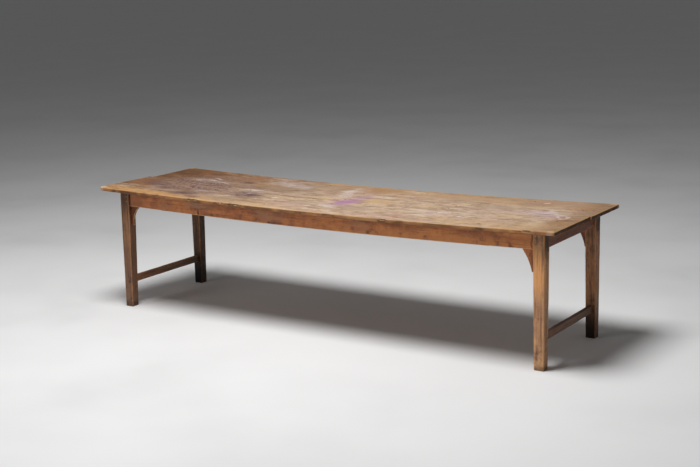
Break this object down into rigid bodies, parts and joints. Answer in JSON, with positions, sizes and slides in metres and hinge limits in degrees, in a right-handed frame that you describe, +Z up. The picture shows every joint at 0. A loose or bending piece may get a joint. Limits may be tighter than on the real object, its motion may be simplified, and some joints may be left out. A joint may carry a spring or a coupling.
{
  "type": "farmhouse dining table",
  "caption": "Long farmhouse dining table: a thin, worn and sagging plank top on tapered square legs, with pegged aprons, hollow-curved corner brackets and end stretchers.",
  "frame": {"origin": "on the floor, under the middle of the top", "axes": "+X along the table towards its right-hand end, +Y from the front to the rear, +Z up"},
  "size_m": [3.09, 0.864, 0.7637],
  "materials": {
    "top_wood": "worn bare boards with stains and paint smears",
    "frame_wood": "old red-brown stain, worn on the arrises",
    "bearer_wood": "unfinished, darkened by age",
    "peg_wood": "dry oiled hardwood",
    "nail_iron": "rusted forged iron"
  },
  "bodies": {
    "root": {"top_board_front": "top_wood", "top_board_rear": "top_wood", "leg_front_left": "frame_wood", "leg_front_right": "frame_wood", "leg_rear_left": "frame_wood", "leg_rear_right": "frame_wood", "bracket_front_left": "frame_wood", "bracket_front_right": "frame_wood", "bracket_rear_left": "frame_wood", "bracket_rear_right": "frame_wood", "apron_front": "frame_wood", "apron_rear": "frame_wood", "apron_left": "frame_wood", "apron_right": "frame_wood", "stretcher_left": "frame_wood", "stretcher_right": "frame_wood", "bearer_1": "bearer_wood", "bearer_2": "bearer_wood", "bearer_3": "bearer_wood", "board_dowels": "peg_wood", "long_apron_pegs": "peg_wood", "end_apron_pegs": "peg_wood", "stretcher_pegs": "peg_wood", "top_nails": "nail_iron", "bracket_nails": "nail_iron"}
  },
  "joints": []
}
